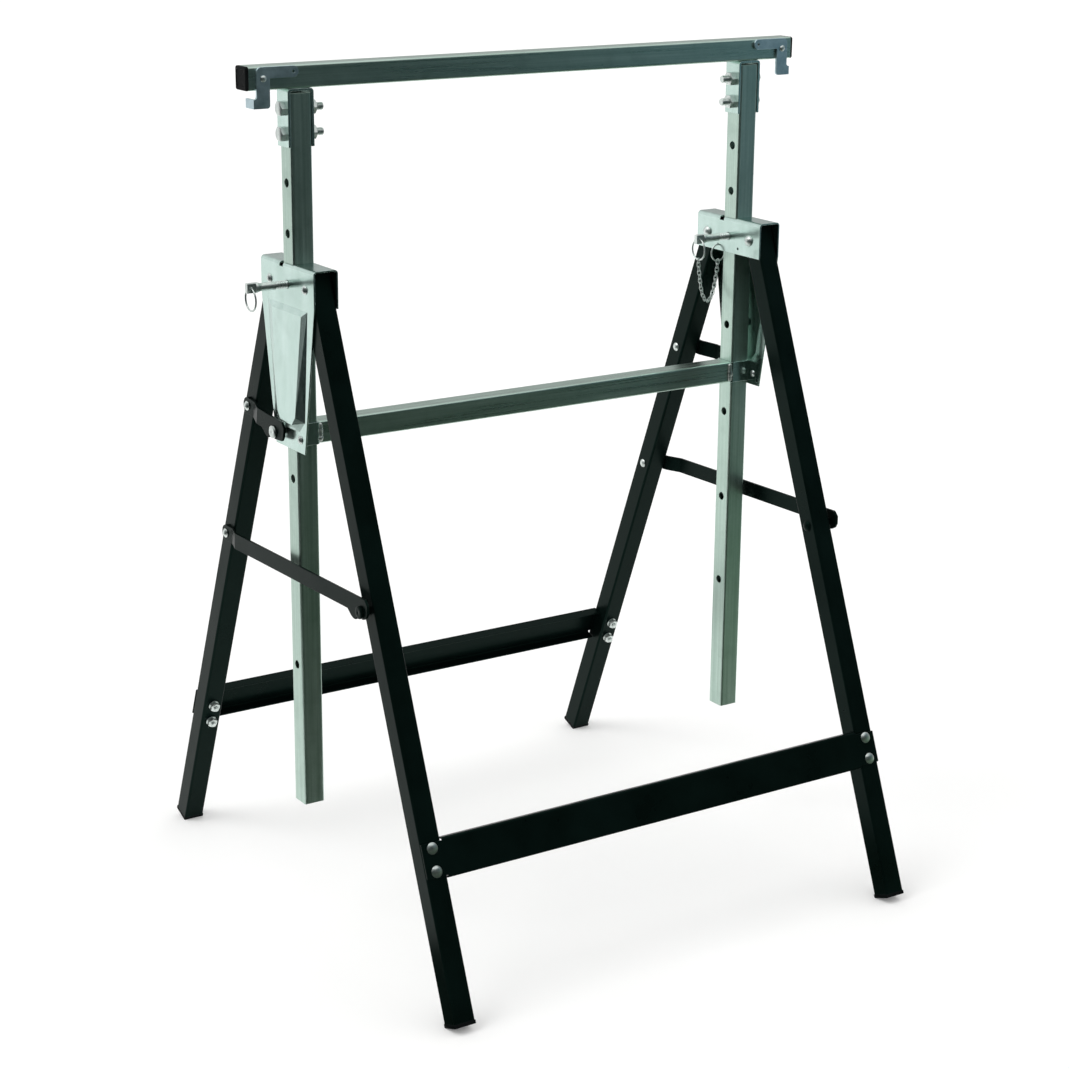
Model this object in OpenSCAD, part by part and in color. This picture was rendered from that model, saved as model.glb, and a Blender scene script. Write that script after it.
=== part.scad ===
// Folding builders trestle with a telescopic top.
// X runs along the bar, -Y is the front, Z is up, and the feet stand on Z = 0.

/* [Stance] */
// Height of the leg pivots and of the lock pins above the floor
pivot_height = 685; // [600:1:760]
// Angle of each leg from the vertical when the trestle is open
leg_angle = 21.5; // [19:0.5:24]
// Distance between the two uprights, centre to centre
upright_spacing = 548; // [420:1:600]

/* [Top bar] */
// Length of the bar with its end caps
bar_len = 665; // [665:1:800]
// Outside size of the bar's square tube
bar_size = 23; // [20:0.5:26]
// Wall of the bar's tube
bar_wall = 1.5; // [1:0.1:2.5]
// Thickness of an end cap's flange
cap_flange = 3; // [2:0.5:6]
// Depth of an end cap's spigot in the tube
cap_depth = 7; // [5:0.5:8]

/* [Saddles] */
// Thickness of the strap under the bar
saddle_t = 2.5; // [1.5:0.1:4]
// Height of the strap's legs below the bar
saddle_drop = 56.5; // [52:0.5:64]
// Gap between the strap's web and the upright's top
saddle_gap = 2; // [0.5:0.1:3]
// Depth of the upper bolt below the bar
saddle_bolt_drop = 19.5; // [16:0.5:22]
// Distance between the two bolts of a saddle
saddle_bolt_pitch = 24.5; // [20:0.5:26]
// Thread diameter of the saddle bolts
saddle_bolt_d = 8; // [6:0.5:9]
// Length of the thread that shows past the nut
saddle_bolt_tail = 8.5; // [2:0.5:10]

/* [Uprights] */
// Outside size of the upright's square tube
upright_size = 23; // [20:0.5:26]
// Wall of the upright's tube
upright_wall = 1.5; // [1:0.1:2.5]
// Length of an upright
upright_len = 741; // [720:1:760]
// Distance from the upright's top to its first lock hole
first_hole_drop = 87.5; // [80:0.5:96]
// Step between the upper lock holes, doubled below the third hole
hole_pitch = 50; // [44:1:54]
// Diameter of the lock holes
hole_d = 9; // [8.6:0.1:11]

/* [Heads] */
// Sheet thickness of the head
plate_t = 1.5; // [1:0.1:2.5]
// Outer radius of the head's two folds
fold_r = 4; // [3:0.5:6]
// Half of the head's width, front to back
head_half_w = 56; // [52:0.5:62]
// Height of the head's top above the pivots
head_rise = 21; // [20:0.5:26]
// Depth below the pivots where the outer cheek starts to narrow
taper_start = 17; // [10:1:21]
// Depth of the outer cheek below the pivots
cheek_drop = 168; // [166:1:180]
// Half of the outer cheek's width at its foot
cheek_foot_half_w = 31; // [29.5:0.5:34]
// Depth of the inner cheek below the pivots
inner_drop = 18; // [17:0.5:19]
// Distance of each leg pivot from the upright's centre line
pivot_half = 37.5; // [35:0.5:42]
// Diameter of the leg pivot rivets
pivot_d = 6.5; // [6:0.5:7]
// Diameter of the leg pivot rivets' domed heads on the outer cheeks
pivot_head_d = 9.5; // [9:0.5:12]
// Diameter of the heads that are formed on the inner cheeks
pivot_tail_d = 12; // [11:0.5:14]
// Diameter of the relief holes at the rear corners of the top opening
relief_d = 7.5; // [5:0.5:8]
// Height of the panel that is pressed out of the outer cheek, at its foot
panel_h = 4.5; // [2:0.1:5]
// Height of the pressed panel at its top
panel_top_h = 1.7; // [1:0.1:2.2]
// Depth below the pivots where the pressed panel starts
panel_top = 21; // [19:1:26]
// Depth below the pivots where the pressed panel ends
panel_foot = 147; // [140:1:147]
// Half of the pressed panel's width along its rim, at its top
panel_half_w = 42; // [38:0.5:44]
// Half of the rim's width at the panel's foot, before the corners are cut
panel_foot_half_w = 31.5; // [30:0.5:32]
// Half of the width of the panel's raised face at its top
face_half_w = 32; // [28:0.5:34]
// Half of the raised face's width at the panel's foot
face_foot_half_w = 17; // [15:0.5:20]
// Height of the slopes at the panel's top and foot
panel_slope = 6.5; // [5:0.5:9]
// Size of the cut corners at the pressed panel's foot
panel_corner = 12; // [6:0.5:14]

/* [Lock pins] */
// Diameter of the pin
pin_d = 8; // [6:0.1:8.2]
// Largest diameter of the pin's grip
grip_d = 10.5; // [9.5:0.5:14]
// Length of the pin's grip
grip_len = 15; // [12:0.5:15]
// Length that comes out on the far side when the pin is pushed home
pin_nose = 1.75; // [1.5:0.25:6]
// Thickness of the flat that carries the ring
tang_t = 5; // [4:0.5:6]
// Wire diameter of the rings
ring_wire = 1.8; // [1.4:0.1:2]
// Radius of the pin's ring at the middle of its wire
ring_r = 11.3; // [10:0.1:13]

/* [Safety chain] */
// Wire diameter of a chain link
chain_wire = 1.1; // [1:0.1:1.2]
// Step from one chain link to the next
chain_pitch = 4.6; // [4.4:0.1:5]
// Clear width inside a chain link
chain_slot = 2.7; // [2.6:0.1:3]
// Number of chain links, always even
chain_links = 24; // [22:2:28]
// Radius of the anchor ring at the middle of its wire
anchor_r = 9.3; // [6:0.1:9.5]
// Distance of the anchor hole from the head's centre line
anchor_y = 18; // [16.5:0.5:20]
// Depth of the anchor hole below the pivots
anchor_drop = 11.6; // [11:0.1:13]

/* [Cross beam and guide collars] */
// Outside size of the beam's square tube
beam_size = 23; // [18:0.5:25]
// Wall of the beam's tube
beam_wall = 1.5; // [1:0.1:2.5]
// Depth of the beam's centre below the pivots
beam_drop = 152.5; // [150:0.5:156]
// Sheet thickness of a guide collar
collar_t = 1.5; // [1:0.1:2.5]
// Height of a guide collar
collar_h = 23; // [20:0.5:25]
// Half of the length of a guide collar across its feet
collar_half_len = 28; // [27.5:0.5:29]
// Distance of a collar's fastenings from the upright's centre line
collar_rivet_y = 22; // [21.5:0.1:23]
// Depth of a collar's fastenings below the pivots
collar_rivet_drop = 154.5; // [153.5:0.5:156]
// Diameter of the collar rivets
collar_rivet_d = 5; // [4:0.5:6]
// Diameter of the collar rivets' domed heads
collar_rivet_head_d = 9; // [8:0.5:10]

/* [Legs] */
// Outside size of the leg's square tube
leg_size = 23; // [20:0.5:25]
// Wall of the leg's tube
leg_wall = 1.5; // [1:0.1:2.5]
// Length of the leg above its pivot
leg_head = 14; // [12:0.5:14.5]
// Thickness of a foot plug's tread
foot_t = 4; // [3:0.5:8]
// Depth of a foot plug's spigot in the leg
foot_depth = 18; // [10:1:30]
// Radius of a foot plug's lower edges
foot_edge_r = 1.5; // [0.5:0.25:2.5]

/* [Rails] */
// Distance from the leg pivots down the leg to the rails' centre line
rail_reach = 568.5; // [480:0.5:590]
// Height of a rail's web
rail_h = 40; // [36:1:46]
// Depth of a rail's lips
rail_lip = 12; // [8:0.5:18]
// Sheet thickness of the rails
rail_t = 1.5; // [1:0.1:2.5]
// Distance between the two bolts at a rail's end
rail_bolt_pitch = 23; // [18:0.5:24]
// Thread diameter of the rail bolts
rail_bolt_d = 6; // [5:0.5:8]
// Length of the thread that shows past the nut
rail_bolt_tail = 3; // [1:0.5:6]

/* [Hook links] */
// Thickness of the links
link_t = 2.5; // [2:0.1:3.5]
// Width of the links
link_w = 17; // [16:0.5:19]
// Extra radius of the round eye at a link's rivet
link_eye = 0.6; // [0.4:0.1:1]
// Length of the sloping step that carries a link outward
link_step_len = 20; // [14:1:22]
// Distance from the leg pivots down the rear leg to the long link's rivet
long_reach = 319; // [300:1:335]
// Distance from the leg pivots down the rear leg to the short link's rivet
short_reach = 154; // [150:1:162]
// Diameter of the rivets that the links turn on
link_rivet_d = 6.5; // [6:0.5:7.5]
// Diameter of the link rivets' domed heads
link_rivet_head_d = 10; // [9.5:0.5:13]
// Diameter of the pegs
peg_d = 8; // [7:0.5:9]
// Diameter of the pegs' heads
peg_head_d = 13; // [12:0.5:15]
// Rise of the strap above the line from its rivet to its peg
hook_lift = 6; // [5:0.5:7]
// Lean of the long link's slot toward its rivet
long_lean = 27; // [25:0.5:28]
// Lean of the short link's slot toward its rivet
short_lean = 27; // [25:0.5:29]
// Extra radius of the hook's round seat, beside its mouth
hook_seat = 0.3; // [0.2:0.05:0.5]
// Length of the long link past its peg
long_tip = 13; // [11:0.5:16]
// Length of the short link past its peg
short_tip = 20; // [14:0.5:22]

/* [End stops] */
// Thickness of the stop's strip
stop_t = 2.5; // [1.5:0.1:3.5]
// Width of the stop's leg
stop_w = 14; // [12:0.5:14.5]
// Distance of the stop's rivet from the bar's end
stop_inset = 17; // [16:0.5:17.5]
// Length of the stop's arm from its rivet toward the bar's middle
stop_arm = 38; // [30:1:46]
// Height of the stop's arm
stop_arm_h = 11; // [9:0.5:11.5]
// Distance from the stop's rivet down to its foot
stop_reach = 28.5; // [28.5:0.5:34]
// Outward step of the stop's foot
stop_step = 3.5; // [3.5:0.5:6]
// Height of the stop's foot and tab
stop_tab_h = 9; // [6:0.5:9]
// Depth of the stop's tab under the bar
stop_tab = 15; // [8:0.5:20]
// Radius of the stop's round inner corner at its foot
stop_corner = 3; // [2:0.5:5]
// Radius of the hollow between the stop's leg and foot
stop_hollow = 3.2; // [2:0.1:3.4]
// Diameter of the stop's rivet
stop_rivet_d = 4; // [3:0.5:5]
// Diameter of the stop rivets' domed heads
stop_rivet_head_d = 6.5; // [6:0.5:9]
// Diameter of the small hole in the stop's arm
stop_hole_d = 3; // [2:0.5:4]

/* [Clearances] */
// Gap on each side between the head or collar and the tubes in it
head_clear = 0.5; // [0.4:0.1:0.8]
// Radial gap where a part turns on a rivet
run_clear = 0.3; // [0.25:0.05:0.4]
// Radial gap between a peg and its hook
hook_clear = 0.8; // [0.7:0.05:1]
// Radial gap round fixed rivets and bolts
fit_clear = 0.1; // [0.05:0.05:0.2]
// Side gap between parts that turn against each other
side_clear = 0.4; // [0.3:0.05:0.5]
// Gap round the plugs in the tubes
plug_clear = 0.15; // [0.05:0.05:0.3]
// Gap between a hanging ring and its hole
hang_clear = 0.6; // [0.5:0.05:0.7]

/* [Hidden] */
$fn = 48;

LEFT = -1;
RIGHT = 1;
FRONT = -1;
REAR = 1;

ZINC = "#b9c6c0";
DARK_ZINC = "#93a19b";
BLACK_PAINT = "#1b1f20";
BLACK_PLASTIC = "#141414";
STEEL = "#c9cfcc";

// Proportions that all tubes and fasteners share
tube_corner_share = 0.1;
least_corner = 0.4;
dome_share = 0.28;
formed_share = 0.36;
hex_flats_share = 1.67;
hex_head_share = 0.65;
hex_corner_turn = 30;
nut_share = 0.8;
rivet_tail_share = 1.5;
prong_share = 0.6;

// Tip and underside of a hook as shares of its prong, from the end and from the peg
hook_tip = [[-0.5, 0], [0, -0.5]];
hook_nose = [[0, 0.1], [-0.25, -0.35]];
hook_underside = [[0.6, -0.6], [0, -0.7], [-0.8, -1], [-1.4, -1], [-1.85, -0.85]];
hook_neck = 2.6;
hook_mouth = 3;
over = 1;

// Heights
half_spacing = upright_spacing / 2;
holes_above_pin = 2;
hole_steps = [0, 1, 2, 4, 6, 8, 10];
upright_top = pivot_height + holes_above_pin * hole_pitch + first_hole_drop;
bar_bottom = upright_top + saddle_gap + saddle_t;
bar_mid = bar_bottom + bar_size / 2;

// Distances from an A-frame's middle plane, outward
upright_half = upright_size / 2;
leg_half = leg_size / 2;
cheek_in = max(upright_half, leg_half) + head_clear;
cheek_out = cheek_in + plate_t;
link_in = leg_half + side_clear;
link_run_in = cheek_out + panel_h + side_clear;
link_step = link_run_in - link_in;
peg_head_in = link_run_in + link_t + side_clear;
peg_head_h = 2.4;
rivet_head_in = link_in + link_t + side_clear;

// Leg length from the pivot to the tread, so that the tread's inner edge stands on the floor
foot_half = leg_half;
leg_reach = foot_edge_r
    + (pivot_height - foot_edge_r - (foot_half - foot_edge_r) * sin(leg_angle)) / cos(leg_angle);

// Where the hook links start and end, as depth and height in the plane of an A-frame
long_root = [
    pivot_half + long_reach * sin(leg_angle),
    pivot_height - long_reach * cos(leg_angle),
];
long_peg = [-long_root.x, long_root.y];
short_root = [
    pivot_half + short_reach * sin(leg_angle),
    pivot_height - short_reach * cos(leg_angle),
];
short_peg = [collar_rivet_y, pivot_height - collar_rivet_drop];

// Places one side's parts: local +X points away from the trestle's middle
module at_side(side) {
    translate([side * half_spacing, 0, 0]) outward(side) children();
}

// Turns parts made for the right to the left
module outward(side) {
    if (side > 0) children();
    else mirror([1, 0, 0]) children();
}

// Turns parts made for the rear to the front
module facing(end) {
    if (end > 0) children();
    else mirror([0, 1, 0]) children();
}

// Leg coordinates: the origin is the pivot, -Z runs down the leg and +Y points away from the middle
module leg_frame(side, end) {
    at_side(side) facing(end)
        translate([0, pivot_half, pivot_height]) rotate([leg_angle, 0, 0]) children();
}

// Rod along X between two places
module x_rod(d, x0, x1) {
    translate([x0, 0, 0]) rotate([0, 90, 0]) cylinder(d = d, h = x1 - x0);
}

// Rod along Y between two places
module y_rod(d, y0, y1) {
    translate([0, y0, 0]) rotate([-90, 0, 0]) cylinder(d = d, h = y1 - y0);
}

// Domed rivet head that stands on Z = 0, with its height as a share of its diameter
module dome(d, share = dome_share) {
    h = d * share;
    r = (d * d / 4 + h * h) / (2 * h);
    intersection() {
        translate([0, 0, h - r]) sphere(r = r);
        cylinder(d = d + over, h = h + over);
    }
}

// Domed head on the face at x, looking toward +X
module x_dome(d, x) {
    translate([x, 0, 0]) rotate([0, 90, 0]) dome(d);
}

// Domed head on the face at x, looking toward -X
module x_dome_back(d, x, share = dome_share) {
    translate([x, 0, 0]) rotate([0, -90, 0]) dome(d, share);
}

// Square with round corners
module round_square(size, r) {
    square([size - 2 * r, size], center = true);
    square([size, size - 2 * r], center = true);
    for (x = [-1, 1])
        for (y = [-1, 1])
            translate([x * (size / 2 - r), y * (size / 2 - r)]) circle(r = r);
}

// Square tube along Z between two heights
module square_tube(size, wall, z0, z1) {
    r = size * tube_corner_share;
    translate([0, 0, z0])
        linear_extrude(z1 - z0)
            difference() {
                round_square(size, r);
                round_square(size - 2 * wall, max(r - wall, least_corner));
            }
}

// Hexagon prism on Z = 0 for a thread diameter
module hex(thread_d, h) {
    cylinder(d = thread_d * hex_flats_share / cos(30), h = h, $fn = 6);
}

// Telescopic top

module top_bar() {
    end_x = bar_len / 2 - cap_flange;
    color(ZINC)
        difference() {
            translate([0, 0, bar_mid]) rotate([0, 90, 0]) square_tube(bar_size, bar_wall, -end_x, end_x);
            for (side = [LEFT, RIGHT])
                translate([side * (bar_len / 2 - stop_inset), 0, bar_mid])
                    y_rod(stop_rivet_d + 2 * fit_clear, -bar_size, 0);
        }
}

// Flange on the tube's end and a spigot inside it
module end_cap(side) {
    inside = bar_size - 2 * (bar_wall + plug_clear);
    r = bar_size * tube_corner_share;
    color(BLACK_PLASTIC)
        translate([side * (bar_len / 2 - cap_flange), 0, bar_mid]) rotate([0, side * 90, 0]) {
            linear_extrude(cap_flange) round_square(bar_size, r);
            translate([0, 0, -cap_depth]) linear_extrude(cap_depth) round_square(inside, r);
        }
}

module left_end_cap() {
    end_cap(LEFT);
}

module right_end_cap() {
    end_cap(RIGHT);
}

saddle_in = upright_half + fit_clear;
saddle_out = saddle_in + saddle_t;

// Inverted U strap over the upright's top
module saddle(side) {
    bend_r = saddle_t * rivet_tail_share;
    color(ZINC)
        at_side(side)
            difference() {
                translate([0, upright_half, bar_bottom]) rotate([90, 0, 0]) linear_extrude(upright_size)
                    difference() {
                        arch(saddle_out, 0, saddle_drop, bend_r);
                        arch(saddle_in, -saddle_t, saddle_drop, bend_r - saddle_t);
                    }
                saddle_bolt_places() x_rod(saddle_bolt_d + 2 * fit_clear, -2 * saddle_out, 2 * saddle_out);
            }
}

// Upright block with two round upper corners
module arch(half_w, top, depth, r) {
    translate([-half_w, top - depth]) square([2 * half_w, depth - r]);
    translate([-half_w + r, top - depth]) square([2 * (half_w - r), depth]);
    for (x = [-1, 1])
        translate([x * (half_w - r), top - r]) circle(r = r);
}

module left_saddle() {
    saddle(LEFT);
}

module right_saddle() {
    saddle(RIGHT);
}

module saddle_bolt_places() {
    for (k = [0, 1])
        translate([0, 0, bar_bottom - saddle_bolt_drop - k * saddle_bolt_pitch]) children();
}

module upright(side) {
    color(ZINC)
        at_side(side)
            difference() {
                square_tube(upright_size, upright_wall, upright_top - upright_len, upright_top);
                for (step = hole_steps)
                    translate([0, 0, upright_top - first_hole_drop - step * hole_pitch])
                        x_rod(hole_d, -upright_size, upright_size);
                saddle_bolt_places() x_rod(saddle_bolt_d + 2 * fit_clear, -upright_size, upright_size);
            }
}

module left_upright() {
    upright(LEFT);
}

module right_upright() {
    upright(RIGHT);
}

saddle_nut_h = saddle_bolt_d * nut_share;

module saddle_bolts() {
    head_h = saddle_bolt_d * hex_head_share;
    color(STEEL)
        for (side = [LEFT, RIGHT])
            at_side(side) saddle_bolt_places() {
                translate([saddle_out, 0, 0]) rotate([0, 90, 0])
                    rotate(hex_corner_turn) hex(saddle_bolt_d, head_h);
                x_rod(saddle_bolt_d, -saddle_out - saddle_nut_h - saddle_bolt_tail, saddle_out + head_h / 2);
            }
}

module saddle_nuts() {
    color(STEEL)
        for (side = [LEFT, RIGHT])
            at_side(side) saddle_bolt_places()
                difference() {
                    translate([-saddle_out, 0, 0]) rotate([0, -90, 0])
                        rotate(hex_corner_turn) hex(saddle_bolt_d, saddle_nut_h);
                    x_rod(saddle_bolt_d + 2 * fit_clear, -2 * saddle_out, 0);
                }
}

// End stops on the bar's front face

stop_back = bar_size / 2 + side_clear;

module stop_rivets() {
    head_y = -stop_back - stop_t - side_clear;
    tail_y = -bar_size / 2 + bar_wall;
    color(STEEL)
        for (side = [LEFT, RIGHT])
            translate([side * (bar_len / 2 - stop_inset), 0, bar_mid]) {
                y_rod(stop_rivet_d, head_y, tail_y);
                translate([0, head_y, 0]) rotate([90, 0, 0]) dome(stop_rivet_head_d);
                translate([0, tail_y, 0]) rotate([-90, 0, 0]) dome(stop_rivet_d * rivet_tail_share);
            }
}

// The arm runs toward the bar's middle, the leg hangs down, and the tab reaches back under the bar
module end_stop(side) {
    half = stop_w / 2;
    tip_r = stop_arm_h / 2;
    tab_x = half + stop_step;
    color(ZINC)
        translate([side * (bar_len / 2 - stop_inset), -stop_back, bar_mid]) outward(side)
            difference() {
                union() {
                    rotate([90, 0, 0]) linear_extrude(stop_t) {
                        translate([tip_r - stop_arm, 0]) square([stop_arm - tip_r, stop_arm_h]);
                        translate([tip_r - stop_arm, tip_r]) circle(r = tip_r);
                        translate([-half, stop_corner - stop_reach])
                            square([stop_w, stop_reach + stop_arm_h - tip_r - stop_corner]);
                        translate([-half, 0]) square([half, stop_arm_h]);
                        translate([half - tip_r, stop_arm_h - tip_r]) circle(r = tip_r);
                        translate([stop_corner - half, -stop_reach])
                            square([half + tab_x - stop_corner, stop_tab_h]);
                        translate([stop_corner - half, stop_corner - stop_reach]) circle(r = stop_corner);
                        translate([half, stop_tab_h - stop_reach])
                            difference() {
                                square(stop_hollow);
                                translate([stop_hollow, stop_hollow]) circle(r = stop_hollow);
                            }
                    }
                    translate([tab_x - stop_t, -stop_t, -stop_reach])
                        cube([stop_t, stop_t + stop_tab, stop_tab_h]);
                }
                y_rod(stop_rivet_d + 2 * run_clear, -2 * stop_t, stop_t);
                translate([tip_r - stop_arm, 0, tip_r]) y_rod(stop_hole_d, -2 * stop_t, stop_t);
            }
}

module left_end_stop() {
    end_stop(LEFT);
}

module right_end_stop() {
    end_stop(RIGHT);
}

// Heads

// Outline of the outer cheek, as depth and height about the pivots
module outer_cheek_outline() {
    polygon([
        [-head_half_w, head_rise],
        [-head_half_w, -taper_start],
        [-cheek_foot_half_w, -cheek_drop],
        [cheek_foot_half_w, -cheek_drop],
        [head_half_w, -taper_start],
        [head_half_w, head_rise],
    ]);
}

// U-shaped cross section of the head, open at the bottom
module head_section() {
    depth = cheek_drop + head_rise;
    difference() {
        arch(cheek_out, head_rise, depth, fold_r);
        arch(cheek_in, head_rise - plate_t, depth, fold_r - plate_t);
    }
}

// Half of the pressed panel's rim at a height below the pivots
function rim_half(drop) =
    panel_half_w + (panel_foot_half_w - panel_half_w) * (drop - panel_top) / (panel_foot - panel_top);

// Half of the pressed panel's raised face at a height below the pivots
function face_half(drop) =
    face_half_w + (face_foot_half_w - face_half_w) * (drop - panel_top) / (panel_foot - panel_top);

// Height of the pressed panel's face at a height below the pivots
function panel_rise(drop) =
    panel_top_h + (panel_h - panel_top_h) * (drop - panel_top) / (panel_foot - panel_top - panel_slope);

// Panel pressed out of the cheek, with sloping sides and cut lower corners
module pressed_panel(shift) {
    crown = panel_top + panel_slope;
    sill = panel_foot - panel_slope;
    rim_bend = panel_foot - panel_corner;
    face_bend = rim_bend - panel_slope / 2;
    rim = [
        [rim_half(panel_top), panel_top],
        [rim_half(rim_bend), rim_bend],
        [panel_foot_half_w - panel_corner, panel_foot],
    ];
    face = [
        [face_half(crown), crown],
        [face_half(face_bend), face_bend],
        [face_half(sill) - panel_corner / 2, sill],
    ];
    hull()
        polyhedron(
            [
                for (m = [-1, 1], p = rim) [cheek_out + shift, m * p.x, -p.y],
                for (m = [-1, 1], p = face) [cheek_out + shift + panel_rise(p.y), m * p.x, -p.y],
            ],
            [
                [0, 1, 2], [3, 5, 4], [6, 8, 7], [9, 10, 11],
                [0, 3, 9], [0, 9, 6], [2, 8, 11], [2, 11, 5],
            ]
        );
}

// Square opening in the head's top web, with round reliefs at its rear corners
module web_opening() {
    half = upright_half + head_clear;
    depth = fold_r + over;
    translate([0, 0, head_rise - depth]) {
        translate([-half, -half, 0]) cube([2 * half, 2 * half, depth + over]);
        for (x = [-1, 1])
            translate([x * half, half, 0]) cylinder(d = relief_d, h = depth + over);
    }
}

anchor_hole_d = ring_wire + 2 * hang_clear;

module head(side) {
    reach = 2 * cheek_out;
    color(ZINC)
        at_side(side) translate([0, 0, pivot_height])
            difference() {
                union() {
                    intersection() {
                        translate([0, head_half_w, 0]) rotate([90, 0, 0])
                            linear_extrude(2 * head_half_w) head_section();
                        union() {
                            rotate([90, 0, 90]) linear_extrude(reach) outer_cheek_outline();
                            translate([-reach, -head_half_w, -inner_drop])
                                cube([reach + over, 2 * head_half_w, inner_drop + head_rise]);
                        }
                    }
                    pressed_panel(0);
                }
                pressed_panel(-plate_t);
                web_opening();
                x_rod(hole_d, -reach, reach);
                for (y = [-1, 1]) {
                    translate([0, y * pivot_half, 0]) x_rod(pivot_d + 2 * fit_clear, -reach, reach);
                    translate([0, y * anchor_y, -anchor_drop]) x_rod(anchor_hole_d, -reach, 0);
                }
                translate([0, -collar_rivet_y, -collar_rivet_drop])
                    x_rod(collar_rivet_d + 2 * fit_clear, 0, reach);
                translate([0, collar_rivet_y, -collar_rivet_drop]) x_rod(peg_d + 2 * fit_clear, 0, reach);
            }
}

module left_head() {
    head(LEFT);
}

module right_head() {
    head(RIGHT);
}

module leg_pivot_rivets() {
    color(STEEL)
        for (side = [LEFT, RIGHT])
            at_side(side)
                for (y = [-1, 1])
                    translate([0, y * pivot_half, pivot_height]) {
                        x_rod(pivot_d, -cheek_out, cheek_out);
                        x_dome(pivot_head_d, cheek_out);
                        x_dome_back(pivot_tail_d, -cheek_out, formed_share);
                    }
}

// Cross beam and the guide collars at its ends

collar_in = upright_half + head_clear;
collar_out = collar_in + collar_t;
collar_foot_in = cheek_in - collar_t;

module cross_beam() {
    end_x = half_spacing - collar_out;
    color(DARK_ZINC)
        translate([0, 0, pivot_height - beam_drop]) rotate([0, 90, 0])
            square_tube(beam_size, beam_wall, -end_x, end_x);
}

// Hat-shaped strap: it wraps the upright on three sides and its feet lie on the outer cheek
module guide_collar(side) {
    bend_r = 2 * collar_t;
    color(DARK_ZINC)
        at_side(side) translate([0, 0, pivot_height])
            difference() {
                translate([0, 0, -beam_drop - collar_h / 2]) linear_extrude(collar_h) {
                    rotate(90)
                        difference() {
                            arch(collar_out, collar_out, collar_out + cheek_in, bend_r);
                            arch(collar_in, collar_in, collar_in + cheek_in + over, bend_r - collar_t);
                        }
                    for (y = [-1, 1])
                        translate([collar_foot_in, y < 0 ? -collar_half_len : collar_in])
                            square([collar_t, collar_half_len - collar_in]);
                }
                translate([0, -collar_rivet_y, -collar_rivet_drop])
                    x_rod(collar_rivet_d + 2 * fit_clear, 0, 2 * cheek_in);
                translate([0, collar_rivet_y, -collar_rivet_drop])
                    x_rod(peg_d + 2 * fit_clear, 0, 2 * cheek_in);
            }
}

module left_guide_collar() {
    guide_collar(LEFT);
}

module right_guide_collar() {
    guide_collar(RIGHT);
}

module collar_rivets() {
    color(STEEL)
        for (side = [LEFT, RIGHT])
            at_side(side) translate([0, -collar_rivet_y, pivot_height - collar_rivet_drop]) {
                x_rod(collar_rivet_d, collar_foot_in, cheek_out);
                x_dome(collar_rivet_head_d, cheek_out);
                x_dome_back(collar_rivet_d * rivet_tail_share, collar_foot_in);
            }
}

// Headed peg that a hook link drops over, riveted through from the face at x0
module hook_peg(x0) {
    x_rod(peg_d, x0, peg_head_in);
    translate([peg_head_in, 0, 0]) rotate([0, 90, 0]) cylinder(d = peg_head_d, h = peg_head_h);
    x_dome_back(peg_d * rivet_tail_share, x0);
}

module cheek_pegs() {
    color(STEEL)
        for (side = [LEFT, RIGHT])
            at_side(side) translate([0, short_peg.x, short_peg.y]) hook_peg(collar_foot_in);
}

// Lock pins, both put in from the left: they are drawn back until the nose lies in the near cheek

pin_tip = -cheek_in - head_clear / 2;
pin_travel = 2 * cheek_out + pin_nose;
grip_start = -cheek_out - pin_travel - over;
grip_cone = 4;
grip_end = grip_start - grip_len;
ring_hole_d = ring_wire + 2 * hang_clear;
ring_hole_x = grip_end + ring_hole_d * rivet_tail_share;

module lock_pin(side) {
    nose = 1.5;
    nose_d = pin_d - 2 * nose;
    bead_pitch = 2.6;
    bead_first = 3.6;
    groove_r = 0.9;
    color(STEEL)
        translate([side * half_spacing, 0, pivot_height])
            difference() {
                union() {
                    x_rod(pin_d, grip_start, pin_tip - nose);
                    translate([pin_tip - nose, 0, 0]) rotate([0, 90, 0])
                        cylinder(d1 = pin_d, d2 = nose_d, h = nose);
                    translate([grip_start - grip_cone, 0, 0]) rotate([0, 90, 0])
                        cylinder(d1 = grip_d, d2 = pin_d, h = grip_cone);
                    x_rod(grip_d, grip_end, grip_start - grip_cone);
                }
                for (k = [0:4])
                    translate([pin_tip - bead_first - k * bead_pitch, 0, 0]) rotate([0, 90, 0])
                        rotate_extrude() translate([pin_d / 2, 0]) circle(r = groove_r, $fn = 24);
                for (y = [-1, 1])
                    translate([grip_end - over, y * (tang_t + grip_d) / 2 - grip_d / 2, -grip_d])
                        cube([2 * (ring_hole_x - grip_end) + over, grip_d, 2 * grip_d]);
                translate([ring_hole_x, 0, 0]) y_rod(ring_hole_d, -grip_d, grip_d);
            }
}

module left_lock_pin() {
    lock_pin(LEFT);
}

module right_lock_pin() {
    lock_pin(RIGHT);
}

// Ring that hangs in the tang's cross hole
ring_drop = ring_r + hang_clear / 2;

module pin_ring(side) {
    color(STEEL)
        translate([side * half_spacing + ring_hole_x, 0, pivot_height - ring_drop])
            rotate([0, 90, 0]) rotate_extrude() translate([ring_r, 0]) circle(d = ring_wire, $fn = 24);
}

module left_pin_ring() {
    pin_ring(LEFT);
}

module right_pin_ring() {
    pin_ring(RIGHT);
}

// Safety chain between the right pin's ring and the anchor ring in the right head's inner cheek

anchor_x = half_spacing - (cheek_in + cheek_out) / 2;
anchor_ring_drop = anchor_drop + anchor_r + hang_clear / 2;

module chain_anchor_ring() {
    color(STEEL)
        translate([anchor_x, anchor_y, pivot_height - anchor_ring_drop])
            rotate([90, 0, 0]) rotate_extrude() translate([anchor_r, 0]) circle(d = ring_wire, $fn = 24);
}

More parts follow.
